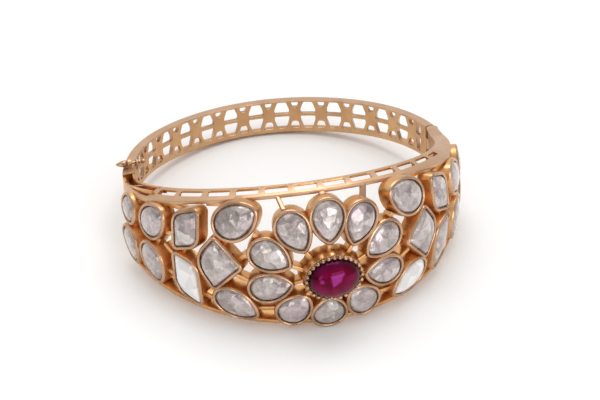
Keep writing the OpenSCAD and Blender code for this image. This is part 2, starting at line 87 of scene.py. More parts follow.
# Top rail. Pairs of angles are where a change begins and where it is complete.
RAIL_RISE = 7.0
RAIL_W = 2.5
RAIL_WIDEN = 1.0
RAIL_WIDE_DEG = 50
RAIL_SLOPE = 21.0
SLOPE_AT_CLASP = (-105, -60)
SLOPE_AT_HINGE = (90, 60)
WIDE_AT_CLASP = (-88, -70)
NARROW_AT_HINGE = (70, 96)
RAIL_T = 0.7
RAIL_BAR_DEG = 9.6
RAIL_BAR_DRIFT = 1.95
RAIL_BAR_HALF = 1.0
RAIL_FROM_DEG = -60.5
RAIL_END_DEG = 58.0
RAIL_INNER_W = 0.5
RAIL_INNER_WIDEN = 0.25
RAIL_INNER_T = 0.4
RAIL_SLOT_W = 1.3
SLOT_LESS_W = 0.35
SLOT_LESS_DEG = (28, 43)
BOTTOM_RAIL_H = 0.85
BOTTOM_RAIL_D = 3.2
BOTTOM_RAIL_FRONT = 0.35
BOTTOM_RAIL_S = 44
BOTTOM_Z = -15.7
BOTTOM_RISE = 5.5
BOTTOM_RISE_S = 40

# Ruby and its cup
RUBY_L = 9.2
RUBY_H = 7.4
RUBY_OUT = 1.6
RUBY_S = 0.3
RUBY_Z = -5.4
CUP_DEPTH = 2.8
CUP_FLARE = 0.95
CUP_FLUTES = 16
CUP_RIM = 0.72
CUP_NECK = 0.38
CUP_FOOT = 1.3
BEADS = 28
BEAD_R = 0.4
RUBY_SIDES = 96
DOME_H = 2.3
GIRDLE_H = 1.0
TWIST_TURNS = 34
TWIST_WIRE_R = 0.13
TWIST_LAY_R = 0.1

# Hinge and clasp
HINGE_Y = 3.6
KNUCKLE_R = 1.1
KNUCKLE_H = 2.05
KNUCKLE_GAP = 0.1
TURN_GAP = 0.15
PIN_R = 0.5
PIN_GAP = 0.05
OPEN_DEG = 60
HINGE_OUT = 1.0
HINGE_X = OPEN_SHIFT + OPEN_A - SIDE_R + SIDE_R * math.cos(math.asin(HINGE_Y / SIDE_R)) + HINGE_OUT
HINGE_BLOCK_DEG = 64
BLOCK_INSET_DEG = 80
BLOCK_W = 3.1
BLOCK_END_W = 2.75
BLOCK_END_GAP = 0.15
BLOCK_INSET = 0.75
BLOCK_WALL = 0.8
BLOCK_ROOF = 1.0
NOTCH_IN = 1.15
NOTCH_BACK = 0.85
NOTCH_DROP = 0.12
NOTCH_H = 4.4
NOTCH_R = 0.75
NOTCH_STRETCH = 1.2
CLASP_Y = 2.2
BOX_FROM_DEG = -63
BOX_W = 2.3
BOX_WALL = 0.55
BOX_STEP = 0.4
BOX_FLOOR_T = 0.8
BOX_EDGE_DEG = -87
BOX_EDGE_T = 0.9
TONGUE_Y = -1.6
TONGUE_LOW_Z = -1.7
LUG_X = -28.7
LUG_T = 0.8
LUG_R = 0.85
LUG_HOLE_R = 0.42
CLASP_PIN_R = 0.32
CLASP_PIN_Y = 5.4
CLASP_PIN_Z = BAND_Z + 0.75
PIN_BALLS = (2.3, 3.1)
PIN_BALL_R = 0.5
LINK_R = 0.95
LINK_WIRE_R = 0.2
LINK_X = 1.8
LINK_DROP = 0.38
PIN_PLACE = Matrix.Translation((LUG_X, CLASP_PIN_Y, CLASP_PIN_Z))

# Leaves of the tongue: where each ends beside the box's middle and along the ring, its thickness and top
TONGUE_LEAVES = [(-0.12, CLASP_Y + 1.2, 0.24, 1.9), (0.38, CLASP_Y - 0.9, 0.22, 1.75)]

# Stones: s along the face, z up the ring, length, width, direction of the tip, its sharpness,
# whether there is one on both sides, name
STONES = [
    (0.15, 4.75, 7.6, 5.6, -90, 0.55, False, "petal_top"),
    (0, -13.75, 5.9, 5.7, 90, 0.45, False, "petal_bottom"),
    (-6.15, 3.35, 7.5, 5.4, -65, 0.5, True, "petal_1"),
    (-10.6, -1.1, 7.3, 5.5, -30, 0.5, True, "petal_2"),
    (-10.8, -7.5, 7.3, 5.2, 10, 0.5, True, "petal_3"),
    (-6.6, -12.5, 6.5, 5.4, 52, 0.35, True, "petal_4"),
    (-16.8, 5.3, 8.0, 6.0, 32, 0.3, True, "top_stone_1"),
    (-26.7, 2.3, 8.0, 4.6, 60, 0, True, "top_stone_2"),
    (-34.8, 1.7, 6.6, 5.6, 45, 0.3, True, "top_stone_3"),
    (-42.6, 1.2, 4.9, 4.3, -60, 0.25, True, "top_stone_4"),
    (-20.9, -3.4, 9.6, 6.6, 0, 0, True, "fan_stone"),
    (-17.6, -11.6, 8.0, 5.3, -32, 0.4, True, "low_stone_1"),
    (-27.2, -7.9, 8.4, 4.2, -75, 0, True, "low_stone_2"),
    (-35.6, -6.9, 7.4, 5.3, -70, 0.3, True, "low_stone_3"),
    (-42.6, -5.9, 6.6, 4.4, -65, 0.35, True, "low_stone_4"),
]
S, Z, LENGTH, WIDTH, TIP, SHARP, PAIR, NAME = range(8)

# Corners of the stones that aren't pears: x, y, radius of the corner
CORNERS = {
    "top_stone_2": [(2.4, 3.9, 0.5), (-2.5, 2.2, 2.2), (-2.3, -3.9, 0.45), (2.4, -2.6, 2.3)],
    "fan_stone": [(0.1, 5.0, 0.5), (-3.9, 0.2, 4.2), (-0.4, -4.9, 0.5), (4.8, 0, 0.45)],
    "low_stone_2": [(-2.0, 4.9, 0.5), (2.4, 3.3, 2.6), (2.3, -5.0, 0.6), (-2.6, -2.6, 3.6)],
}
CLEAR_STONES = ("low_stone_2_left", "low_stone_1_right")

# Crown of a cut stone: its height over the stone's width, and rings of facet corners inside its bevel. Each
# ring has the counts to choose from, its share of the stone's reach and of the height, and how it wanders.
FACET_SEED = 300
STONE_FIT = 0.995
GIRDLE_Z = -0.36
CROWN_SHARE = 0.12
CROWN_LEAST = 0.18
BEVEL_REACH = 0.87
BEVEL_HEIGHT = 0.46
FACET_RINGS = [((7, 8, 9), 0.68, 0.78, 0.05), ((3, 4, 5), 0.32, 0.98, 0.08)]

# Strips on edge that tie the settings together: s, z of one end and s, z of the other
BRIDGES = [
    (-14.7, -0.9, -17.0, -2.6),
    (-17.3, -5.6, -14.6, -6.8),
    (-13.6, 2.9, -12.4, 1.8),
    (-18.0, 1.9, -19.6, 0.4),
    (-27.4, -1.6, -28.0, -3.4),
    (-21.6, -11.8, -25.0, -10.8),
    (-24.4, -5.4, -23.2, -5.0),
    (-10.2, -12.6, -14.0, -12.8),
    (-29.4, -4.4, -32.4, -2.4),
    (-33.6, -1.6, -34.6, -3.0),
    (-29.9, -8.4, -32.2, -8.0),
    (-29.6, 0.4, -32.0, 0.2),
    (-38.2, 0.6, -40.2, 0.8),
    (-38.6, -6.6, -40.2, -6.2),
    (-41.8, -1.6, -42.4, -2.6),
]

# Thickness of a strip, and how far behind the face its front and back edges lie
BRIDGE_SECTION = (0.9, 0.9, 3.0)
SPOKE_SECTION = (0.75, 0.3, 2.6)

# Spokes from the petals' tips to the ruby's cup
SPOKES = [
    (0, 0.7, 0, -1.6),
    (0, -10.6, 0, -9.2),
    (-4.6, -0.2, -2.9, -2.6),
    (-7.2, -3.1, -3.9, -4.5),
    (-7.2, -6.9, -4.1, -6.1),
    (-4.6, -9.8, -2.9, -8.0),
]

# Rods from the settings to the top rail: s, z and depth at the panel, then the angle, the distance from the
# rail's outer edge and the depth at the rail. The front ones end with their width, height and rounding.
FRONT_RODS = [
    (-7.9, 7.3, 1.0, -14.2, 0.5, 0.55, 0.8, 0.7, 0.15),
    (7.9, 6.9, 1.9, 14.2, 0.6, 0.6, 1.15, 0.8, 0.15),
    (0, 8.2, 2.0, 0, 0.6, 0.8, 1.2, 1.0, 0.2),
]
SIDE_RODS = [
    (-18.0, 7.9, 2.4, -37, 0.8, 1.0),
    (-27, 5.4, 2.4, -54, 0.9, 1.0),
    (-35.2, 4.2, 2.4, -66, 1.1, 1.1),
    (-41.5, 2.6, 2.6, -76, 0.9, 1.6),
]
SIDE_ROD_SECTION = (1.0, 1.0, 0.15)

# Brace inside the clasp box: angle, place across the rail and depth of its two ends, and its thickness
BOX_BRACE = ((-76, 0.3, 0.5), (-83, 2.2, 0.5))
BOX_BRACE_T = 0.55


def both_sides(half):
    """Corners of a gap that is the same on both sides, from those of its right side."""
    mirror = [(-x, z, r) for x, z, r in half]
    return mirror[:1] + half + mirror[:0:-1]


# Lattice gaps: corners x, z and radius, on the right side alone where a gap is symmetrical
HIGH_BAR_Z = BAR_Z + BAR_H / 2
LOW_BAR_Z = BAR_Z - BAR_H / 2
HIGH_RIM_Z = BAND_Z - RIM_H / 2
LOW_RIM_Z = LOW_RIM_H - BAND_Z
GAP_HIGH = both_sides([(1.42, HIGH_BAR_Z, 0.25), (1.45, HIGH_BAR_Z + 0.8, 0.5), (0.85, HIGH_RIM_Z, 0.35)])
GAP_LOW = both_sides([(1.45, LOW_BAR_Z, 0.25), (1.42, LOW_BAR_Z - 0.8, 0.5), (0.85, LOW_RIM_Z, 0.35)])
STAR_HIGH = both_sides([(0.4, 1.95, 0.3), (0.85, HIGH_RIM_Z, 0.25)])
STAR_LOW = both_sides([(0.6, -1.0, 0.5), (1.0, LOW_RIM_Z, 0.3)])
END_HIGH = [(-0.9, HIGH_BAR_Z, 0.3), (0.75, HIGH_BAR_Z, 0.3),
            (0.5, HIGH_RIM_Z, 0.3), (-0.55, HIGH_RIM_Z, 0.3)]
END_LOW = [(-0.9, LOW_BAR_Z, 0.3), (0.75, LOW_BAR_Z, 0.3),
           (0.4, RIM_H - BAND_Z, 0.3), (-0.5, RIM_H - BAND_Z, 0.3)]

# Gold finishes, by slot of the metal pieces. The groove finish is darkened gold, partly patina and partly
# painted shade; the deep one is painted shade only.
SATIN, RIM, WALL, PATINA_AND_SHADE, INNER, PAINTED_SHADE = range(6)
SMOOTH_DEG = 32


# Geometry of the ring
def sin(deg):
    return math.sin(math.radians(deg))


def cos(deg):
    return math.cos(math.radians(deg))


def around(sides):
    """Cosine and sine of each step round a circle."""
    return [(cos(360 * i / sides), sin(360 * i / sides)) for i in range(sides)]


def spread(low, high, steps):
    return [low + (high - low) * i / steps for i in range(steps + 1)]


def share(x, low, high):
    """How far x has come from low to high, from 0 to 1."""
    return max(0, min(1, (x - low) / (high - low)))


def end_r(a):
    return ((a - SIDE_R) ** 2 + OPEN_B**2 - SIDE_R**2) / (2 * (OPEN_B - SIDE_R))


def join_deg(a):
    return math.degrees(math.atan2(a - SIDE_R, end_r(a) - OPEN_B))


def oval(a, x, u, d):
    """Point d outside an oval of half width a, where its outward normal stands u degrees from the front."""
    r = end_r(a)
    if abs(u) <= join_deg(a):
        return Vector((x + (r + d) * sin(u), r - OPEN_B - (r + d) * cos(u)))
    if abs(u) >= 180 - join_deg(a):
        return Vector((x + (r + d) * sin(u), OPEN_B - r - (r + d) * cos(u)))
    return Vector((x + math.copysign(a - SIDE_R, u) + (SIDE_R + d) * sin(u), -(SIDE_R + d) * cos(u)))


def front_oval(u, d):
    return oval(FRONT_A, 0, u, d)


def back_oval(u, d):
    return oval(OPEN_A, OPEN_SHIFT, u - 360 if u > 180 else u, d)


def back_deg(t):
    """Normal angle of the point t millimetres along the band from the middle of the back."""
    join = end_r(OPEN_A) * math.radians(join_deg(OPEN_A))
    if abs(t) <= join:
        turn = math.degrees(abs(t) / end_r(OPEN_A))
    else:
        turn = join_deg(OPEN_A) + math.degrees((abs(t) - join) / SIDE_R)
    return math.copysign(180 - turn, t)


def top_z(p):
    return BAND_Z + RAIL_RISE * max(0, -p[1]) / OPEN_B


def slope_at(u):
    return RAIL_SLOPE * share(u, *(SLOPE_AT_HINGE if u > 0 else SLOPE_AT_CLASP))


def rail_inner(u):
    return RAIL_INNER_W + RAIL_INNER_WIDEN * min(1, (u / RAIL_WIDE_DEG) ** 2)


def rail_wide(u):
    if u < WIDE_AT_CLASP[1]:
        return BOX_W + (RAIL_W + RAIL_WIDEN - BOX_W) * share(u, *WIDE_AT_CLASP)
    if u > HINGE_BLOCK_DEG - 2:
        return BLOCK_W - (BLOCK_W - BLOCK_END_W) * share(u, *NARROW_AT_HINGE)
    return RAIL_W + RAIL_WIDEN * min(1, (u / RAIL_WIDE_DEG) ** 2)


def rail_point(u, w, t):
    """Point of the top rail, w across its face from the inner edge and t below the face."""
    p = front_oval(u, w * cos(slope_at(u)))
    return Vector((p[0], p[1], top_z(front_oval(u, 0)) - w * sin(slope_at(u)) - t))


def face_out(s, z):
    return PANEL_R + PANEL_SPREAD * (s / PANEL_SPREAD_S) ** 2 - PANEL_BULGE * (z - PANEL_WIDEST_Z) ** 2


def face_tilt(z):
    return math.degrees(math.atan(2 * PANEL_BULGE * (z - PANEL_WIDEST_Z)))


def panel_point(s, z, d):
    a = math.degrees(s / PANEL_R)
    r = face_out(s, z) - d * cos(face_tilt(z))
    return Vector((r * sin(a), -r * cos(a), z - d * sin(face_tilt(z))))


def bottom_z(s):
    return BOTTOM_Z + BOTTOM_RISE * (s / BOTTOM_RISE_S) ** 2


def on_panel(s, z):
    """Frame in the plane of the face at s and z, +Z outwards and +Y up the ring."""
    return (
        Matrix.Rotation(s / PANEL_R, 4, "Z")
        @ Matrix.Translation((0, -face_out(s, z), z))
        @ Matrix.Rotation(math.radians(90 - face_tilt(z)), 4, "X")
    )


def band_point(t, z, d):
    p = back_oval(back_deg(t), d)
    return Vector((p[0], p[1], z))


# Outlines
def pear(length, width, tip, sharp, count):
    peak = 2 * math.sqrt(1 + sharp) / (2 + sharp) * ((1 + sharp) / (2 + sharp)) ** (sharp / 2)
    points = []
    for i in range(count):
        t = 360 * i / count
        x = length / 2 * cos(t)
        y = width / 2 * sin(t) * sin(t / 2) ** sharp / peak
        points.append(Vector((x * cos(tip) - y * sin(tip), x * sin(tip) + y * cos(tip))))
    return points


def round_polygon(corners, arc_steps, edge_step=None):
    """Outline with each corner rounded to its own radius, its straight sides cut up to edge_step."""
    points = []
    count = len(corners)
    for i in range(count):
        before, at, after = (Vector(corners[(i + k) % count][:2]) for k in (-1, 0, 1))
        radius = corners[i][2]
        p, q = (before - at).normalized(), (after - at).normalized()
        half = p.angle(q) / 2
        centre = at + (p + q).normalized() * radius / math.sin(half)
        start = at + p * radius / math.tan(half) - centre
        end = at + q * radius / math.tan(half) - centre
        first = math.atan2(start.y, start.x)
        turn = (math.atan2(end.y, end.x) - first + math.pi) % (2 * math.pi) - math.pi
        for k in range(arc_steps + 1):
            angle = first + turn * k / arc_steps
            points.append(centre + radius * Vector((math.cos(angle), math.sin(angle))))
    if not edge_step:
        return points
    cut = []
    for a, b in zip(points, points[1:] + points[:1]):
        pieces = max(1, round((b - a).length / edge_step))
        cut += [a.lerp(b, k / pieces) for k in range(pieces)]
    return cut


def stone_outline(row, count=72, arc_steps=8, edge_step=0.5):
    if row[NAME] in CORNERS:
        return round_polygon(CORNERS[row[NAME]], arc_steps, edge_step)
    return pear(row[LENGTH], row[WIDTH], row[TIP], row[SHARP], count)


def is_ccw(points):
    return sum(a.x * b.y - b.x * a.y for a, b in zip(points, points[1:] + points[:1])) > 0


def outward(points):
    """Mitred outward direction at each point of an outline, whose length moves both edges by one."""
    side = 1 if is_ccw(points) else -1
    normals = []
    for i, at in enumerate(points):
        a = (at - points[i - 1]).normalized()
        b = (points[(i + 1) % len(points)] - at).normalized()
        na, nb = Vector((a.y, -a.x)) * side, Vector((b.y, -b.x)) * side
        middle = (na + nb).normalized()
        normals.append(middle / max(0.55, middle.dot(na)))
    return normals


def offset(points, d):
    """Outline moved out by d. A move inwards goes towards the middle, so that it never crosses itself."""
    if d >= 0:
        return [p + n * d for p, n in zip(points, outward(points))]
    middle = sum(points, Vector((0, 0))) / len(points)
    return [p + (middle - p).normalized() * -d for p in points]


# Meshes
class Shape:
    """A closed mesh in the making: points in the ring's frame, faces, and each face's finish."""

    def __init__(self):
        self.points = []
        self.faces = []
        self.finish = []

    def add(self, points, faces, finish=SATIN, place=None):
        start = len(self.points)
        self.points += [(place @ Vector(p)) if place else Vector(p) for p in points]
        self.faces += [tuple(start + i for i in face) for face in faces]
        self.finish += finish if isinstance(finish, list) else [finish] * len(faces)
        return self

    def loft(self, rings, finish=SATIN, loop=False, place=None):
        """Skin through rings of points; finish may be a list with one entry for each side of a ring."""
        n, m = len(rings[0]), len(rings)
        points = [p for ring in rings for p in ring]
        faces, finishes = [], []
        for j in range(m if loop else m - 1):
            k = (j + 1) % m
            for i in range(n):
                faces.append((j * n + i, k * n + i, k * n + (i + 1) % n, j * n + (i + 1) % n))
                finishes.append(finish[i] if isinstance(finish, list) else finish)
        if not loop:
            faces += [tuple(range(n)), tuple((m - 1) * n + i for i in reversed(range(n)))]
            finishes += [finish[0] if isinstance(finish, list) else finish] * 2
        return self.add(points, faces, finishes, place)


def mesh_of(name, shape, finishes, smooth_deg=SMOOTH_DEG):
    """Object in metres, lying down, from a shape, with its faces turned outwards."""
    mesh = bpy.data.meshes.new(name)
    mesh.from_pydata([LYING @ p * MM for p in shape.points], [], shape.faces)
    for material in finishes:
        mesh.materials.append(material)
    mesh.polygons.foreach_set("material_index", shape.finish)
    bm = bmesh.new()
    bm.from_mesh(mesh)
    bmesh.ops.recalc_face_normals(bm, faces=bm.faces)
    if bm.calc_volume(signed=True) < 0:
        bmesh.ops.reverse_faces(bm, faces=bm.faces)
    bm.to_mesh(mesh)
    bm.free()
    obj = placed(name, mesh)
    shade(obj, smooth_deg)
    return obj


def placed(name, data):
    obj = bpy.data.objects.new(name, data)
    bpy.context.scene.collection.objects.link(obj)
    return obj


def shade(obj, smooth_deg):
    mesh = obj.data
    mesh.polygons.foreach_set("use_smooth", [smooth_deg > 0] * len(mesh.polygons))
    if smooth_deg > 0:
        mesh.set_sharp_from_angle(angle=math.radians(smooth_deg))


def combine(base, others, operation):
    """Boolean of base with each of the others in turn. The others are used up."""
    for other in others:
        modifier = base.modifiers.new("combine", "BOOLEAN")
        modifier.operation = operation
        modifier.object = other
        modifier.solver = "MANIFOLD"
        done = bpy.data.meshes.new_from_object(base.evaluated_get(bpy.context.evaluated_depsgraph_get()))
        base.modifiers.clear()
        old = base.data
        done.name = old.name + "_whole"
        base.data = done
        bpy.data.meshes.remove(old)
        bpy.data.objects.remove(other)
    return base


# Sections
def rounded_box(w0, w1, h0, h1, r, steps=2):
    """Section with rounded corners, anticlockwise from its low w and low h."""
    corners = [(w0 + r, h0 + r, 180), (w1 - r, h0 + r, 270), (w1 - r, h1 - r, 0), (w0 + r, h1 - r, 90)]
    return [
        (w + r * cos(start + 90 * k / steps), h + r * sin(start + 90 * k / steps))
        for w, h, start in corners
        for k in range(steps + 1)
    ]


def rail_strip(u0, u1, w_from, w_to, t=RAIL_T):
    """Strip of the top rail between two angles; w_from and w_to give its edges at an angle."""
    rings = []
    for u in spread(u0, u1, max(2, round((u1 - u0) / 1.2))):
        rings.append([rail_point(u, w, -h) for w, h in rounded_box(w_from(u), w_to(u), -t, 0, 0.13)])
    return Shape().loft(rings)


def box_bar(a, b, w, h, r=0.1, finish=RIM):
    along = (b - a).normalized()
    side = along.cross(Vector((0, 0, 1))).normalized()
    up = side.cross(along)
    section = rounded_box(-w / 2, w / 2, -h / 2, h / 2, r)
    return Shape().loft([[p + side * x + up * y for x, y in section] for p in (a, b)], finish)


def edge_strip(s0, z0, s1, z1, w, d0, d1, r=0.14):
    """Strip on edge between two places of the panel, from depth d0 to d1 behind the face."""
    across = Vector((z0 - z1, s1 - s0)).normalized()
    section = rounded_box(-w / 2, w / 2, -d1, -d0, r)
    rings = []
    for s, z in zip(spread(s0, s1, 3), spread(z0, z1, 3)):
        rings.append([panel_point(s + across.x * x, z + across.y * x, -y) for x, y in section])
    return Shape().loft(rings, WALL)


def cylinder(x, y, z0, z1, radius, finish=WALL, bevel=0.0, sides=48):
    heights = [(z0, radius - bevel), (z0 + bevel, radius), (z1 - bevel, radius), (z1, radius - bevel)]
    if not bevel:
        heights = [(z0, radius), (z1, radius)]
    rings = [[Vector((x + r * c, y + r * s, z)) for c, s in around(sides)] for z, r in heights]
    return Shape().loft(rings, finish)


def block(x0, x1, y0, y1, z0, z1, turn=0, about=(0, 0), finish=WALL):
    points = [(x, y, z) for z in (z0, z1) for y in (y0, y1) for x in (x0, x1)]
    spin = Matrix.Translation((about[0], about[1], 0)) @ Matrix.Rotation(math.radians(turn), 4, "Z")
    faces = [(0, 2, 3, 1), (4, 5, 7, 6), (0, 1, 5, 4), (2, 6, 7, 3), (0, 4, 6, 2), (1, 3, 7, 5)]
    return Shape().add(points, faces, finish, spin)


def sides_of(row):
    return (1, -1) if row[PAIR] else (1,)


def stone_name(row, side):
    if not row[PAIR]:
        return row[NAME]
    return row[NAME] + ("_left" if side > 0 else "_right")


def mirrored(shape, side):
    if side < 0:
        shape.points = [Vector((-p.x, p.y, p.z)) for p in shape.points]
    return shape


# Front half
def bezel_skin(row, profile, finish):
    """Walls round a stone's outline. The profile holds distances from it and heights."""
    outline = stone_outline(row)
    count = len(outline)
    points = [Vector((p.x, p.y, h)) for n, h in profile for p in offset(outline, n)]
    faces, finishes = [], []
    for j in range(len(profile) - 1):
        for i in range(count):
            k = (i + 1) % count
            faces.append((j * count + i, j * count + k, (j + 1) * count + k, (j + 1) * count + i))
            finishes.append(finish[j])
    last = (len(profile) - 1) * count
    faces += [tuple(reversed(range(count))), tuple(last + i for i in range(count))]
    return Shape().add(points, faces, finishes + [WALL, RIM], on_panel(row[S], row[Z]))


def bezel_body(row):
    """Deep wall of a setting, with a rolled rim."""
    profile = [(BEZEL_W - 0.1, -BEZEL_D), (BEZEL_W, 0.1 - BEZEL_D), (BEZEL_W, -0.45),
               (BEZEL_W - 0.08, -0.2), (BEZEL_W - 0.25, -0.04), (0.25, 0.0)]
    return bezel_skin(row, profile, [WALL, WALL, RIM, RIM, RIM])


def bezel_hollow(row):
    """Pocket with a rolled lip, and the open back behind its ledge."""
    profile = [(-0.45, -BEZEL_D - 1), (-0.45, -POCKET_D - 0.02), (SEAT_GAP, -POCKET_D), (SEAT_GAP, -0.5),
               (0.02, -0.34), (0.06, -0.16), (0.16, -0.04), (0.3, 0.02), (0.34, 1.0)]
    # The pocket's wall and lip take the darkened gold: partly patina, partly painted shade round the stone.
    return bezel_skin(row, profile, [WALL, WALL, PATINA_AND_SHADE, PATINA_AND_SHADE, PATINA_AND_SHADE, RIM, RIM, RIM])


def oval_ring(z, n, count=RUBY_SIDES, flute=0.0):
    """Oval around the ruby at distance n from it, with CUP_FLUTES soft ribs of depth flute."""
    ring = []
    for i in range(count):
        a = 360 * i / count
        d = n + flute * (abs(cos(CUP_FLUTES * a / 2)) - 0.5)
        ring.append(Vector(((RUBY_L / 2 + d) * cos(a), (RUBY_H / 2 + d) * sin(a), z)))
    return ring


def ruby_cup():
    """Fluted cup with a plain neck, and the cuts for the ruby's seat and the open back."""
    place = on_panel(RUBY_S, RUBY_Z)
    profile = [(-CUP_DEPTH, CUP_FLARE - 0.08, 0.2), (0.1 - CUP_DEPTH, CUP_FLARE, 0.2),
               (-1.4, CUP_FLARE - 0.1, 0.2), (-0.3, CUP_RIM, 0.12), (RUBY_OUT - CUP_FOOT, CUP_NECK, 0),
               (RUBY_OUT - 0.65, CUP_NECK, 0), (RUBY_OUT - 0.55, CUP_NECK - 0.1, 0)]
    sides = 11 * CUP_FLUTES
    turns = [CUP_FLUTES * 180 * (i + 0.5) / sides for i in range(sides)]
    # The flutes' sides take a darker gold: painted shade in the folds.
    folds = [PAINTED_SHADE if abs(cos(turn)) < 0.72 else WALL for turn in turns]
    body = Shape().loft([oval_ring(h, n, sides, flute) for h, n, flute in profile], folds, place=place)
    rings = [oval_ring(h, SEAT_GAP) for h in (RUBY_OUT - CUP_FOOT, RUBY_OUT + 1)]
    # The seat's wall takes the darkened gold: partly patina, partly painted shade round the ruby.
    seat = Shape().loft(rings, PATINA_AND_SHADE, place=place)
    bore = Shape().loft([oval_ring(h, -0.7) for h in (-CUP_DEPTH - 1, RUBY_OUT)], WALL, place=place)
    return body, [seat, bore]


def slot_wide(u):
    return RAIL_SLOT_W - SLOT_LESS_W * share(u, *SLOT_LESS_DEG)


def bar_deg(i):
    """Where bar i of the rail stands. The last ones before the clasp stand further apart."""
    return i * RAIL_BAR_DEG - RAIL_BAR_DRIFT * max(0, -4 - i)


def rail_slots():
    """Slots of the top rail between its bars, with softened edges, and the cut that thins its inner edge."""
    cuts = []
    low = -RAIL_T - 0.3
    for i in range(-6, 6):
        u0 = max(RAIL_FROM_DEG, bar_deg(i) + RAIL_BAR_HALF)
        u1 = min(RAIL_END_DEG, bar_deg(i + 1) - RAIL_BAR_HALF)
        insets = [(u0, 0.14), (u0 + 0.2, 0.04)]
        insets += [(u, 0) for u in spread(u0 + 0.5, u1 - 0.5, 6)]
        insets += [(u1 - 0.2, 0.04), (u1, 0.14)]
        rings = []
        for u, inset in insets:
            w0 = rail_inner(u) + inset
            w1 = rail_inner(u) + slot_wide(u) - inset
            section = [(w0, low), (w1, low), (w1, -0.07), (w1 + 0.07, 0.01), (w1 + 0.07, 1), (w0 - 0.07, 1),
                       (w0 - 0.07, 0.01), (w0, -0.07)]
            rings.append([rail_point(u, w, -h) for w, h in section])
        cuts.append(Shape().loft(rings, WALL))
    rings = []
    for u in spread(-RAIL_END_DEG, RAIL_END_DEG, 80):
        edge = rail_inner(u) + 0.3
        section = [(-1, -2), (edge, -2), (edge, -RAIL_INNER_T), (-1, -RAIL_INNER_T)]
        rings.append([rail_point(u, w, -h) for w, h in section])
    cuts.append(Shape().loft(rings, WALL))
    return cuts


def bottom_rail():
    rings = []
    half = BOTTOM_RAIL_H / 2
    for s in spread(-BOTTOM_RAIL_S, BOTTOM_RAIL_S, 120):
        middle = bottom_z(s)
        section = rounded_box(middle - half, middle + half, -BOTTOM_RAIL_D, -BOTTOM_RAIL_FRONT, 0.16)
        rings.append([panel_point(s, z, -d) for z, d in section])
    return Shape().loft(rings, WALL)


def rod_ends(s, z, depth, u, inset, drop):
    return panel_point(s, z, depth), rail_point(u, rail_wide(u) - inset, drop)


def rail_rods():
    rods = [box_bar(*rod_ends(*row[:6]), *row[6:]) for row in FRONT_RODS]
    for side in (1, -1):
        rods += [mirrored(box_bar(*rod_ends(*row), *SIDE_ROD_SECTION, WALL), side) for row in SIDE_RODS]
    return rods


def oval_wall(u0, u1, d0, d1, z0, z1, r=0.12):
    """Upright wall along the front half's oval, whose top rises as the rail does."""
    rings = []
    for u in spread(u0, u1, max(2, round(abs(u1 - u0) / 1.5))):
        rise = top_z(front_oval(u, d0)) - BAND_Z
        ring = []
        for d, z in rounded_box(d0, d1, z0, z1, r):
            p = front_oval(u, d)
            ring.append(Vector((p[0], p[1], z + rise * (z - z0) / (z1 - z0))))
        rings.append(ring)
    return Shape().loft(rings, WALL)


def past_side(y):
    """Normal angle at which the front half, 1 mm outside its oval, reaches y behind its middle."""
    return 90 + math.degrees(math.asin(y / (SIDE_R + 1)))


def clasp_box():
    """Open box that the tongue goes into: two walls, a floor, the rail's edge above, and a brace."""
    end = -past_side(CLASP_Y)
    return [
        oval_wall(end, BOX_FROM_DEG, 0, BOX_WALL, -BAND_Z, BAND_Z),
        oval_wall(end, BOX_FROM_DEG, BOX_W - BOX_WALL, BOX_W, -BAND_Z, BAND_Z - BOX_STEP),
        oval_wall(end + 0.2, BOX_FROM_DEG, 0.1, BOX_W - 0.1, 0.02 - BAND_Z, BOX_FLOOR_T - BAND_Z),
        rail_strip(BOX_EDGE_DEG, BOX_FROM_DEG, lambda u: rail_wide(u) - BOX_WALL, rail_wide, BOX_EDGE_T),
        box_bar(*(rail_point(*at) for at in BOX_BRACE), BOX_BRACE_T, BOX_BRACE_T, finish=SATIN),
    ]


def hinge_block():
    """Block from the rail to the hinge: narrower to the band, hollow below, with a notch inside."""
    end = past_side(HINGE_Y - BLOCK_END_GAP)
    rings, hollow, notch = [], [], []
    for u in spread(HINGE_BLOCK_DEG, end, 26):
        inset = BLOCK_INSET * share(u, BLOCK_INSET_DEG, end) ** 2
        rings.append(block_section(u, inset, rail_wide(u), 0.0, 0.2))
        hollow.append(block_section(u, BLOCK_WALL, rail_wide(u) - BLOCK_WALL, BLOCK_ROOF, 0.05, -1.0))
    for k in spread(-1, 1, 18):
        r = NOTCH_R * math.sqrt(1.02 - k**2)
        z = BAND_Z - NOTCH_DROP + NOTCH_H / 2 * (k - 1)
        notch.append([Vector((HINGE_X - NOTCH_IN + r * c, HINGE_Y - NOTCH_BACK + NOTCH_STRETCH * r * s, z))
                      for c, s in around(24)])
    # The notch's faces take the darkened gold: a painted shadow in the seam, partly patina.
    return Shape().loft(rings), [Shape().loft(hollow[1:-6], WALL), Shape().loft(notch, PATINA_AND_SHADE)]


def block_section(u, w0, w1, t, r, drop=0.0):
    """Section of the hinge block: a rounded top t below the rail's face, and a foot drop below the ring."""
    turns = [(sin(30 * k), cos(30 * k)) for k in range(4)]
    top = [(w0 + r - r * c, t + r - r * s) for s, c in turns]
    top += [(w1 - r + r * s, t + r - r * c) for s, c in turns]
    ring = [rail_point(u, w, depth) for w, depth in top]
    for w in (w1, w0):
        p = front_oval(u, w * cos(slope_at(u)))
        ring.append(Vector((p[0], p[1], drop - BAND_Z)))
    return ring


def front_knuckles():
    """Upper and lower knuckle, each with the web that ties it to the block."""
    shapes = []
    x0, x1 = HINGE_X - KNUCKLE_R + 0.25, HINGE_X + KNUCKLE_R - 0.2
    for z0 in (-BAND_Z, BAND_Z - KNUCKLE_H):
        z1 = z0 + KNUCKLE_H
        shapes.append(cylinder(HINGE_X, HINGE_Y, z0 + 0.02, z1 - 0.02, KNUCKLE_R, SATIN, 0.06))
        shapes.append(block(x0, x1, HINGE_Y - KNUCKLE_R - 1, HINGE_Y, z0 + 0.03, z1 - 0.03, finish=SATIN))
    return shapes


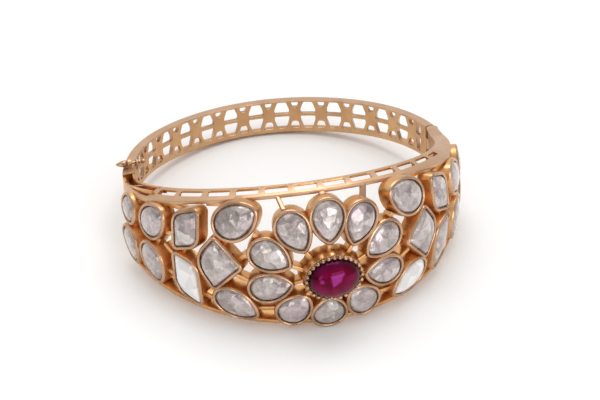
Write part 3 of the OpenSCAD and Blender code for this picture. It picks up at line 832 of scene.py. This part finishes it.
def front_frame():
    cup, cup_cuts = ruby_cup()
    blocks, block_cuts = hinge_block()
    rail = rail_strip(BOX_FROM_DEG - 1, HINGE_BLOCK_DEG + 1, lambda u: 0, rail_wide)
    solids = [blocks, cup, bottom_rail(), rail] + rail_rods()
    cuts = cup_cuts + block_cuts + rail_slots()
    for row in STONES:
        for side in sides_of(row):
            solids.append(mirrored(bezel_body(row), side))
            cuts.append(mirrored(bezel_hollow(row), side))
    for side in (1, -1):
        solids += [mirrored(edge_strip(*bridge, *BRIDGE_SECTION), side) for bridge in BRIDGES]
    for spoke in SPOKES:
        for side in (1, -1) if spoke[0] else (1,):
            solids.append(mirrored(edge_strip(*spoke, *SPOKE_SECTION), side))
    solids += clasp_box() + front_knuckles()
    middle = BAND_Z - KNUCKLE_H
    cuts += [
        cylinder(HINGE_X, HINGE_Y, -middle - KNUCKLE_GAP, middle + KNUCKLE_GAP, KNUCKLE_R + TURN_GAP),
        cylinder(HINGE_X, HINGE_Y, -BAND_Z - 1, BAND_Z - 0.6, PIN_R + PIN_GAP),
        block(HINGE_X - 8, HINGE_X + 8, HINGE_Y - 0.2, HINGE_Y + 6, -middle, middle),
    ]
    return solids, cuts


def build(name, *steps):
    """One gold piece. Each step joins solids, the very first being the base, and then takes cuts off."""
    base = None
    for solids, cuts in steps:
        parts = [mesh_of(name, shape, GOLD) for shape in solids]
        base = base or parts.pop(0)
        combine(base, parts, "UNION")
        combine(base, [mesh_of(name, shape, GOLD) for shape in cuts], "DIFFERENCE")
    base.data.name = name
    shade(base, SMOOTH_DEG)
    return base


# Back half
def band_t(u):
    """Distance along the band, from the middle of the back, of the place where the normal angle is u."""
    return end_r(OPEN_A) * math.radians(join_deg(OPEN_A)) + math.radians(180 - u - join_deg(OPEN_A)) * SIDE_R


def end_swell(t):
    """How much thicker the band is near the clasp, where it meets the wider box."""
    end = band_t(BAND_END_DEG)
    k = share(-t, end - END_SWELL_L, end)
    return END_SWELL * k * k * (3 - 2 * k)


def band_stretch(t0, t1, section, finish):
    rings = []
    for t in spread(t0, t1, max(2, round(abs(t1 - t0) / 0.7))):
        rings.append([band_point(t, z, d + (end_swell(t) if d > PLATE_T else 0)) for d, z in section])
    return Shape().loft(rings, finish)


def band_gap(shape, t, corners):
    """Adds one gap of the lattice, with its edge rolled on both faces of the plate."""
    outline = round_polygon(corners, 6)
    roll = 0.05
    depths = [(-0.6, roll), (-0.01, roll), (roll, 0),
              (PLATE_T - roll, 0), (PLATE_T + 0.01, roll), (BAND_T + 0.6, roll)]
    return shape.loft([[band_point(t + p.x, p.y, d) for p in offset(outline, n)] for d, n in depths], RIM)


def lattice():
    gaps = Shape()
    for i in range(-STARS_TO_CLASP, STARS_TO_HINGE + 1):
        t = FIRST_STAR + i * STAR_PITCH
        band_gap(gaps, t, STAR_HIGH)
        band_gap(gaps, t, STAR_LOW)
        if i < STARS_TO_HINGE:
            band_gap(gaps, t + STAR_PITCH / 2, GAP_HIGH)
            band_gap(gaps, t + STAR_PITCH / 2, GAP_LOW)
    band_gap(gaps, END_GAP_T, END_HIGH)
    return band_gap(gaps, END_GAP_T, END_LOW)


def lathe_x(profile, place, finish):
    """Turned form along X: profile holds the place on the axis and the radius."""
    rings = [[Vector((x, r * c, r * s)) for c, s in around(40)] for x, r in profile]
    return Shape().loft(rings, finish, place=place)


def leaf(a, b, t, z1):
    """Spring leaf of the tongue: an upright strip of thickness t between two points x, y, up to z1."""
    along = (Vector(b) - Vector(a)).normalized()
    side = Vector((along.y, -along.x)) * t / 2
    rings = []
    for z, k in ((TONGUE_LOW_Z, 0.7), (TONGUE_LOW_Z + 0.06, 1), (z1 - 0.06, 1), (z1, 0.7)):
        corners = (Vector(a) + side * k, Vector(b) + side * k, Vector(b) - side * k, Vector(a) - side * k)
        rings.append([Vector((p.x, p.y, z)) for p in corners])
    return Shape().loft(rings, WALL)


def back_band():
    """Solids and cuts of the band, and after them what is soldered to it and the bores through all."""
    low_rim, high_rim = RIM_H - BAND_Z - 0.03, HIGH_RIM_Z + 0.03
    section = [(0.1, -BAND_Z), (BAND_T - 0.1, -BAND_Z), (BAND_T, 0.1 - BAND_Z), (BAND_T, low_rim - 0.08),
               (BAND_T - 0.08, low_rim), (PLATE_T, low_rim), (PLATE_T, high_rim), (BAND_T - 0.06, high_rim),
               (BAND_T, high_rim + 0.06), (BAND_T, BAND_Z - 0.08), (BAND_T - 0.08, BAND_Z), (0.1, BAND_Z),
               (0, BAND_Z - 0.1), (0, 0.1 - BAND_Z)]
    pad = rounded_box(0.01, BAND_T - 0.01, 0.02 - BAND_Z, BAND_Z - 0.02, 0.1)
    end = band_t(BAND_END_DEG)
    solids = [
        band_stretch(-end, end, section, [WALL] * 10 + [SATIN, RIM, INNER, RIM]),
        band_stretch(*map(band_t, PAD_AT_HINGE), pad, SATIN),
        band_stretch(-end, -band_t(PAD_AT_CLASP_DEG), pad, SATIN),
    ]
    middle = BAND_Z - KNUCKLE_H - KNUCKLE_GAP
    cuts = [
        lattice(),
        block(0, 50, -10, HINGE_Y + 0.2, -10, 10),
        block(-50, 0, -10, CLASP_Y + 0.2, -10, 10),
        block(0, 20, SEAM_GAP, 20, -10, 10, OPEN_DEG - 90, (HINGE_X, HINGE_Y)),
        cylinder(HINGE_X, HINGE_Y, -BAND_Z - 1, -middle, KNUCKLE_R + TURN_GAP),
        cylinder(HINGE_X, HINGE_Y, middle, BAND_Z + 1, KNUCKLE_R + TURN_GAP),
    ]
    tongue_x = OPEN_SHIFT - OPEN_A - BOX_W / 2
    tip = (tongue_x, TONGUE_Y + 0.1)
    lug = [(0, LUG_R - 0.1), (0.1, LUG_R), (LUG_T - 0.1, LUG_R), (LUG_T, LUG_R - 0.1)]
    low_x, high_x = LUG_X + 0.05, LUG_X + LUG_T - 0.05
    low_y, high_y = CLASP_PIN_Y - LUG_R + 0.03, CLASP_PIN_Y + LUG_R - 0.03
    extras = [cylinder(HINGE_X, HINGE_Y, -middle, middle, KNUCKLE_R, bevel=0.08)]
    extras += [leaf(tip, (tongue_x + shift, y), t, top) for shift, y, t, top in TONGUE_LEAVES]
    extras += [
        lathe_x(lug, PIN_PLACE, SATIN),
        block(low_x, high_x, low_y, high_y, CLASP_PIN_Z - 0.9, CLASP_PIN_Z, finish=SATIN),
    ]
    bores = [
        # The bore takes the darkened gold: partly patina, partly painted shade inside the hole.
        lathe_x([(-1, LUG_HOLE_R), (2, LUG_HOLE_R)], PIN_PLACE, PATINA_AND_SHADE),
        cylinder(HINGE_X, HINGE_Y, -BAND_Z - 1, BAND_Z + 1, PIN_R + PIN_GAP),
    ]
    return (solids, cuts), (extras, bores)


def clasp_pin():
    """Turned pin with a bullet-shaped head outside and two balls inside."""
    profile = [(-2.1, 0.02), (-2.06, 0.14), (-1.9, 0.26), (-1.4, 0.46), (-0.9, 0.6),
               (-0.55, 0.66), (-0.25, 0.64), (-0.12, 0.52), (-0.08, CLASP_PIN_R)]
    for ball in PIN_BALLS:
        for k in range(1, 12):
            x = ball - PIN_BALL_R * cos(15 * k)
            r = PIN_BALL_R * sin(15 * k)
            if r >= CLASP_PIN_R * 0.72 and x > profile[-1][0]:
                profile.append((x, r))
    return lathe_x(profile + [(3.5, 0.2), (3.55, 0.02)], PIN_PLACE, RIM)


def clasp_link():
    wire = [(LINK_R + LINK_WIRE_R * c, LINK_WIRE_R * s) for c, s in around(14)]
    rings = [[Vector((x, r * c, r * s)) for r, x in wire] for c, s in around(56)]
    place = Matrix.Translation((LINK_X, 0, -LINK_DROP)) @ PIN_PLACE
    return Shape().loft(rings, RIM, loop=True, place=place)


# Stones
def cut_stone(row, side, seed):
    """Flat back, straight girdle, and a low crown of broad uneven facets."""
    dice = random.Random(seed)
    outline = [p * STONE_FIT for p in stone_outline(row, 40, 4, 0.9)]
    middle = sum(outline, Vector((0, 0))) / len(outline)
    crown = row[WIDTH] * CROWN_SHARE + CROWN_LEAST
    points = [Vector((p.x, p.y, h)) for p in outline for h in (SEAT_GAP - POCKET_D, GIRDLE_Z)]
    points += [Vector((*middle.lerp(p, BEVEL_REACH), GIRDLE_Z + crown * BEVEL_HEIGHT)) for p in outline]
    for counts, reach, height, wander in FACET_RINGS:
        count = dice.choice(counts)
        first = dice.random()
        for i in range(count):
            at = (i + first + dice.uniform(-0.25, 0.25)) / count * len(outline)
            a, b = outline[int(at) % len(outline)], outline[(int(at) + 1) % len(outline)]
            rim = a.lerp(b, at % 1)
            p = middle + (rim - middle) * (reach + dice.uniform(-wander, wander))
            points.append(Vector((p.x, p.y, GIRDLE_Z + crown * (height + dice.uniform(-0.05, 0.05)))))
    place = LYING @ Matrix.Scale(side, 4, (1, 0, 0)) @ on_panel(row[S], row[Z])
    bm = bmesh.new()
    for p in points:
        bm.verts.new(place @ p * MM)
    hull = bmesh.ops.convex_hull(bm, input=bm.verts)
    inside = {g for g in hull["geom_interior"] + hull["geom_unused"] if isinstance(g, bmesh.types.BMVert)}
    bmesh.ops.delete(bm, geom=list(inside), context="VERTS")
    bmesh.ops.dissolve_limit(bm, angle_limit=math.radians(1.5), verts=bm.verts, edges=bm.edges)
    bmesh.ops.recalc_face_normals(bm, faces=bm.faces)
    mesh = bpy.data.meshes.new("cut_" + stone_name(row, side))
    bm.to_mesh(mesh)
    bm.free()
    return placed(mesh.name, mesh)


def ruby_dome():
    """Cabochon with a straight girdle and a low dome."""
    base = RUBY_OUT - CUP_FOOT + SEAT_GAP
    rings = [oval_ring(base, 0.0), oval_ring(base + GIRDLE_H - 0.04, 0.0)]
    for tilt in range(4, 88, 4):
        half_l, half_h = RUBY_L / 2 * cos(tilt), RUBY_H / 2 * cos(tilt)
        h = base + GIRDLE_H + DOME_H * sin(tilt)
        rings.append([Vector((half_l * c, half_h * s, h)) for c, s in around(RUBY_SIDES)])
    return Shape().loft(rings, 0, place=on_panel(RUBY_S, RUBY_Z))


def rim_beads():
    """Round grains on the ruby's rim, and a wire of two twisted strands round its neck."""
    place = on_panel(RUBY_S, RUBY_Z)
    shape = Shape()
    ellipse = oval_ring(0, BEAD_R + 0.04, 720)
    lengths = [0.0]
    for a, b in zip(ellipse, ellipse[1:] + ellipse[:1]):
        lengths.append(lengths[-1] + (b - a).length)
    k = 0
    for i in range(BEADS):
        while lengths[k + 1] < i * lengths[-1] / BEADS:
            k += 1
        centre = Vector((ellipse[k].x, ellipse[k].y, RUBY_OUT - 0.2))
        rings = [[centre + BEAD_R * Vector((cos(tilt) * c, cos(tilt) * s, sin(tilt))) for c, s in around(12)]
                 for tilt in range(-75, 90, 15)]
        shape.loft(rings, RIM, place=place)
    for strand in (0, 180):
        rings = []
        for i, (c, s) in enumerate(around(8 * TWIST_TURNS)):
            lay = 45 * i + strand
            d = CUP_NECK + TWIST_LAY_R * (1 + cos(lay))
            h = RUBY_OUT - 0.85 + TWIST_LAY_R * sin(lay)
            middle = Vector(((RUBY_L / 2 + d) * c, (RUBY_H / 2 + d) * s, h))
            rings.append([middle + TWIST_WIRE_R * Vector((x * c, x * s, y)) for x, y in around(6)])
        shape.loft(rings, RIM, loop=True, place=place)
    return shape


# Materials
class Look:
    """A material, or the sky, and the steps that build its nodes. Each takes sockets or plain values."""

    def __init__(self, name, among=bpy.data.materials):
        self.owner = among.new(name)
        self.owner.use_nodes = True
        self.tree = self.owner.node_tree
        self.place = self.node("ShaderNodeTexCoord").outputs["Object"]

    def feed(self, node, values):
        for key, value in values.items():
            if isinstance(value, bpy.types.NodeSocket):
                self.tree.links.new(value, node.inputs[key])
            else:
                node.inputs[key].default_value = value

    def node(self, kind, values=None, **settings):
        node = self.tree.nodes.new(kind)
        for key, value in settings.items():
            setattr(node, key, value)
        self.feed(node, values or {})
        return node

    def shaded(self, values, shader="Principled BSDF"):
        self.feed(self.tree.nodes[shader], values)
        return self.owner

    def noise(self, scale, detail=3.0, distortion=0.0):
        values = {"Vector": self.place, "Scale": scale, "Detail": detail, "Distortion": distortion}
        return self.node("ShaderNodeTexNoise", values).outputs["Fac"]

    def cells(self, scale, vector, **settings):
        return self.node("ShaderNodeTexVoronoi", {"Vector": vector, "Scale": scale}, **settings).outputs

    def red(self, color):
        return self.node("ShaderNodeSeparateColor", {"Color": color}).outputs["Red"]

    def ramp(self, value, *stops):
        node = self.node("ShaderNodeValToRGB", {"Fac": value})
        while len(node.color_ramp.elements) < len(stops):
            node.color_ramp.elements.new(0.5)
        for element, (at, color) in zip(node.color_ramp.elements, stops):
            element.position = at
            element.color = (*color, 1)
        return node.outputs["Color"]

    def mix(self, a, b, factor, blend="MIX"):
        values = {"A": a, "B": b, "Factor": factor}
        return self.node("ShaderNodeMix", values, data_type="RGBA", blend_type=blend).outputs["Result"]

    def between(self, value, low, high):
        """The middle of a noise, stretched from low to high."""
        values = {"Value": value, "From Min": 0.3, "From Max": 0.7, "To Min": low, "To Max": high}
        return self.node("ShaderNodeMapRange", values).outputs["Result"]

    def bump(self, height, strength, distance):
        values = {"Height": height, "Strength": strength, "Distance": distance}
        return self.node("ShaderNodeBump", values).outputs["Normal"]


def gold(name, light, deep, rough, uneven):
    """Cast gold: slow colour change, a soft unevenness from the casting, and fine polishing marks."""
    look = Look(name)
    slow, fine, soft = look.noise(260, 2.0), look.noise(2600, 4.0), look.noise(900, 2.0)
    return look.shaded({
        "Base Color": look.ramp(slow, (0.3, deep), (0.7, light)),
        "Roughness": look.between(soft, *rough),
        "Normal": look.bump(look.mix(fine, soft, 0.75), uneven, 0.00006),
        "Metallic": 1.0,
    })


def patina_and_shade_material():
    """Darkened gold down in the seats and the hinge notch: partly patina where polishing doesn't reach,
    partly painted shade.
    """
    look = Look("gold_patina_and_shade")
    tone = look.noise(1800, 4.0)
    return look.shaded({
        "Base Color": look.ramp(tone, (0.35, (0.22, 0.11, 0.06)), (0.7, (0.55, 0.32, 0.19))),
        "Roughness": look.between(tone, 0.3, 0.55),
        "Metallic": 0.9,
    })


def polki_material():
    """Uncut-looking diamond on crinkled silver foil, under a clear polished top."""
    look = Look("polki_on_foil")
    drift = look.node("ShaderNodeTexNoise", {"Vector": look.place, "Scale": 700}).outputs["Color"]
    bend = {0: drift, 1: (0.0012, 0.0012, 0.0012), 2: look.place}
    warped = look.node("ShaderNodeVectorMath", bend, operation="MULTIPLY_ADD").outputs[0]
    folds = look.cells(600, warped)
    cracks = look.cells(560, warped, feature="DISTANCE_TO_EDGE")
    crack = look.ramp(cracks["Distance"], (0.0, (0.5, 0.44, 0.43)), (0.07, (1.0, 1.0, 1.0)))
    grey = look.ramp(look.noise(560, 4.0, 1.2), (0.32, (0.25, 0.20, 0.19)), (0.5, (0.46, 0.39, 0.375)),
                     (0.66, (0.74, 0.665, 0.655)))
    cell = look.ramp(look.red(folds["Color"]), (0.0, (0.22, 0.175, 0.165)), (0.5, (0.39, 0.33, 0.32)),
                     (1.0, (0.7, 0.63, 0.62)))
    hue = look.ramp(look.noise(300, 2.0), (0.32, (0.98, 1.0, 0.95)), (0.5, (1.0, 0.99, 0.98)),
                    (0.7, (1.0, 0.92, 1.0)))
    cracked = look.mix(look.mix(grey, cell, 0.6), crack, 0.35, "MULTIPLY")
    return look.shaded({
        "Base Color": look.mix(cracked, hue, 1.0, "MULTIPLY"),
        "Normal": look.bump(folds["Distance"], 0.5, 0.00036),
        "Metallic": 0.65,
        "Roughness": 0.28,
        "Coat Weight": 1.0,
        "Coat Roughness": 0.04,
        "Coat IOR": 1.7,
    })


def glint_white_material():
    """The two stones that flash white: clear, with their whiteness painted on as the flash's glint, and
    faint facets inside.
    """
    look = Look("clear_stone")
    folds = look.cells(420, look.place)
    fold = look.red(folds["Color"])
    return look.shaded({
        # The near-white base colour is a painted highlight: the flash's glint on the stones' tables.
        "Base Color": look.ramp(fold, (0.1, (0.80, 0.775, 0.77)), (0.6, (1.0, 0.99, 0.985))),
        "Normal": look.bump(folds["Distance"], 0.3, 0.0004),
        "Transmission Weight": 0.2,
        "Roughness": 0.08,
        "IOR": 1.3,
        "Coat Weight": 1.0,
        "Coat Roughness": 0.03,
    })


def ruby_distance(look, way, start, unit):
    """How far a place lies from start along way, on the ruby's seat. The unit is in millimetres."""
    seat = LYING @ on_panel(RUBY_S, RUBY_Z)
    slope = seat.to_3x3() @ Vector(way) / (unit * MM)
    across = look.node("ShaderNodeVectorMath", {0: look.place, 1: slope}, operation="DOT_PRODUCT")
    begin = (seat @ Vector(start)) * MM
    return look.node("ShaderNodeMath", {0: across.outputs["Value"], 1: -begin.dot(slope)}).outputs[0]


def inside_of(look, corners, soft=0.3):
    """1 within a convex figure on the ruby's plane, rising from 0 over its soft edge."""
    least = None
    for a, b in zip(corners, corners[1:] + corners[:1]):
        along = (Vector(b) - Vector(a)).normalized()
        edge = ruby_distance(look, (-along.y, along.x, 0), (*a, 0), soft)
        edges = {0: edge if least is None else least, 1: edge}
        least = look.node("ShaderNodeMath", edges, operation="MINIMUM").outputs[0]
    return look.node("ShaderNodeClamp", {"Value": least}).outputs["Result"]


def ruby_material():
    """Deep red, darker to the edge as painted shade, with two painted highlights: lighter patches standing
    in for light that the cut back throws forward.
    """
    look = Look("ruby")
    cloud = look.noise(320, 3.0, 0.6)
    body = look.ramp(cloud, (0.36, (0.075, 0.001, 0.004)), (0.5, (0.11, 0.001, 0.010)),
                     (0.64, (0.17, 0.002, 0.035)))
    painted_highlight = look.ramp(cloud, (0.3, (0.26, 0.02, 0.14)), (0.7, (0.34, 0.035, 0.24)))
    # Two lighter patches painted on the dome: painted highlights, standing in for light that comes back
    # through the stone.
    lit = look.mix(body, painted_highlight, inside_of(look, [(-0.9, -0.7), (0.7, 0.4), (1.5, 2.1), (-1.4, 1.8)]))
    lit = look.mix(lit, painted_highlight, inside_of(look, [(-3.2, 0.3), (-2.2, 0.2), (-2.3, 1.2), (-3.1, 1.1)]))
    # Painted shade: the colour darkens and turns bluer towards the dome's edge.
    across = ruby_distance(look, (1, 0, 0), (0, 0, 0), RUBY_L / 2)
    up = ruby_distance(look, (0, 1, 0), (0, 0, 0), RUBY_H / 2)
    spot = look.node("ShaderNodeCombineXYZ", {0: across, 1: up}).outputs[0]
    reach = look.node("ShaderNodeVectorMath", {0: spot}, operation="LENGTH").outputs["Value"]
    rim = look.ramp(reach, (0.72, (1, 1, 1)), (0.97, (0.3, 0.35, 0.6)))
    return look.shaded({
        "Base Color": look.mix(lit, rim, 1.0, "MULTIPLY"),
        "Roughness": 0.06,
        "IOR": 1.77,
        "Specular IOR Level": 0.2,
        "Specular Tint": (0.7, 0.15, 0.5, 1),
    })


def floor_material():
    look = Look("floor")
    tone = look.ramp(look.noise(3, 2.0), (0.3, (0.93, 0.93, 0.925)), (0.7, (0.95, 0.95, 0.945)))
    return look.shaded({"Base Color": tone, "Roughness": 0.9, "Specular IOR Level": 0.1})


GOLD = [
    gold("gold_satin", (0.64, 0.42, 0.27), (0.57, 0.355, 0.21), (0.34, 0.46), 0.12),
    gold("gold_rim", (0.66, 0.42, 0.265), (0.38, 0.225, 0.13), (0.2, 0.34), 0.22),
    gold("gold_wall", (0.80, 0.47, 0.225), (0.58, 0.29, 0.10), (0.26, 0.4), 0.04),
    patina_and_shade_material(),
    gold("gold_inner", (0.68, 0.42, 0.22), (0.60, 0.35, 0.17), (0.34, 0.48), 0.12),
    # Darker gold for the sides of the cup's flutes: painted shade.
    gold("gold_painted_shade", (0.58, 0.30, 0.10), (0.42, 0.19, 0.05), (0.3, 0.45), 0.06),
]


# Building the pieces
def dressed(obj, body, nodes):
    """Puts a piece on its body, in place of nodes of the CAD model."""
    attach(obj, body)
    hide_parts(*nodes)


dressed(build("gold_front", front_frame()), "front_half", ["front_frame"])
beads = mesh_of("ruby_beads", rim_beads(), GOLD, 60)
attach(beads, "front_half")

dressed(build("gold_band", *back_band()), "back_half", ["back_band"])
dressed(mesh_of("safety_pin", clasp_pin(), GOLD, 40), "back_half", ["clasp_pin"])
dressed(mesh_of("safety_link", clasp_link(), GOLD, 60), "back_half", ["clasp_link"])

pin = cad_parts["hinge_pin"]
pin.data.materials.clear()
pin.data.materials.append(GOLD[RIM])

dressed(mesh_of("ruby_cabochon", ruby_dome(), [ruby_material()], 70), "front_half", ["ruby"])

polki, clear = polki_material(), glint_white_material()
for index, row in enumerate(STONES):
    for side in sides_of(row):
        name = stone_name(row, side)
        stone = cut_stone(row, side, seed=FACET_SEED + 2 * index + (side < 0))
        is_clear = name in CLEAR_STONES
        stone.data.materials.append(clear if is_clear else polki)
        dressed(stone, "front_half", [name])

# Floor
floor_mesh = bpy.data.meshes.new("floor")
floor_mesh.from_pydata([(x, y, 0) for x, y in ((-3, -3), (3, -3), (3, 3), (-3, 3))], [], [(0, 1, 2, 3)])
floor_mesh.materials.append(floor_material())
floor = placed("floor", floor_mesh)

# Camera at the photograph's angle, fitted in the ring's frame
CAMERA_MM = 449
CAMERA_AZ = -12.9
CAMERA_EL = 25.3
CAMERA_ROLL = -2.72
FOCAL_PX = 2411
CENTRE_PX = (285.4, 173.1)
FRAME_PX = (600, 400)
SENSOR = 36

back = Vector((sin(CAMERA_AZ) * cos(CAMERA_EL), -cos(CAMERA_AZ) * cos(CAMERA_EL), sin(CAMERA_EL)))
right = Vector((cos(CAMERA_AZ), sin(CAMERA_AZ), 0))
up = back.cross(right)
rolled_right = cos(CAMERA_ROLL) * right + sin(CAMERA_ROLL) * up
rolled_up = cos(CAMERA_ROLL) * up - sin(CAMERA_ROLL) * right
seat = Matrix((rolled_right, rolled_up, back)).transposed().to_4x4()
seat.translation = back * CAMERA_MM
seat = LYING @ seat
seat.translation *= MM
camera = placed("camera", bpy.data.cameras.new("camera"))
camera.matrix_world = seat
camera.data.sensor_width = SENSOR
camera.data.lens = FOCAL_PX * SENSOR / FRAME_PX[0]
camera.data.shift_x = (FRAME_PX[0] / 2 - CENTRE_PX[0]) / FRAME_PX[0]
camera.data.shift_y = (CENTRE_PX[1] - FRAME_PX[1] / 2) / FRAME_PX[0]
camera.data.clip_start = 0.01
bpy.context.scene.camera = camera


# Light
SKY_LEVEL = 0.5
SKY_SLANT = (0, 0.28, 0.48)


def softbox(name, place, size, watts, target=(0, 0, 0.01)):
    """Rectangular light of the given sides in metres, aimed at the object's middle."""
    light = bpy.data.lights.new(name, "AREA")
    light.shape = "RECTANGLE"
    light.size, light.size_y = size
    light.energy = watts
    obj = placed(name, light)
    obj.location = place
    obj.rotation_euler = (Vector(target) - Vector(place)).to_track_quat("-Z", "Y").to_euler()


softbox("top", (0.05, 0.14, 0.55), (0.4, 0.3), 1.0)
softbox("window", (0.165, -0.55, 0.18), (0.34, 0.26), 0.85)
softbox("side_window", (-0.33, -0.5, 0.13), (0.14, 0.2), 0.3)

sky = Look("studio", bpy.data.worlds)
direction = sky.node("ShaderNodeTexCoord").outputs["Generated"]
slant = sky.node("ShaderNodeVectorMath", {0: direction, 1: SKY_SLANT}, operation="DOT_PRODUCT")
level = sky.node("ShaderNodeMath", {0: slant.outputs["Value"], 1: SKY_LEVEL}).outputs[0]
bpy.context.scene.world = sky.shaded({"Strength": level, "Color": (1, 1, 1, 1)}, "Background")
bpy.context.scene.view_settings.view_transform = "Standard"
